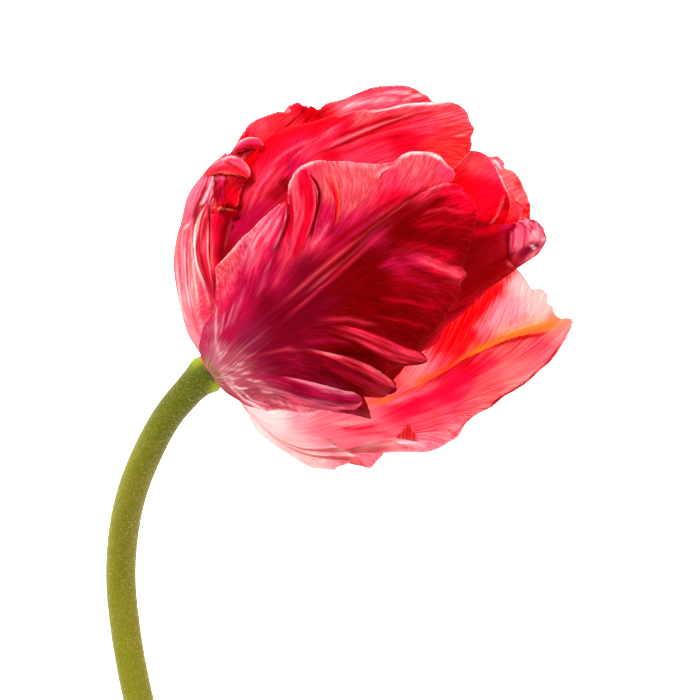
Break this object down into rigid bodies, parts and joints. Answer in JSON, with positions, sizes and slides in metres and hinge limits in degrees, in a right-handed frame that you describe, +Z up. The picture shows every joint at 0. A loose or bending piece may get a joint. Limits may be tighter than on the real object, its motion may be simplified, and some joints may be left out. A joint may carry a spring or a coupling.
{
  "type": "tulip flower",
  "caption": "Cut parrot tulip lying on its side: a ruffled, ragged red cup of tepals on a bent green stem.",
  "frame": {"origin": "the middle of the flower's footprint, on the surface it lies on", "axes": "+Z up from the surface; +Y runs from the cut end of the stem towards the bloom; +X is the side the bloom opens towards; the picture looks straight down -Z"},
  "size_m": [0.1082, 0.1916, 0.0685],
  "materials": {
    "tepal": "satin, thin and see-through to light, red to pink with a cream base",
    "stem_green": "velvety olive green",
    "pistil_green": "matte pale green",
    "anther_dark": "powdery dark purple on pale filaments"
  },
  "bodies": {
    "root": {"stem": "stem_green", "pistil": "pistil_green", "stamen_1": "anther_dark", "stamen_2": "anther_dark", "stamen_3": "anther_dark", "stamen_4": "anther_dark", "stamen_5": "anther_dark", "stamen_6": "anther_dark", "tepal_front_outer": "tepal", "tepal_front_upper": "tepal", "tepal_front_lower": "tepal", "tepal_front_inner": "tepal", "tepal_left_outer": "tepal", "tepal_rear_upper": "tepal", "tepal_rear_right": "tepal", "tepal_lower_open": "tepal"}
  },
  "joints": []
}
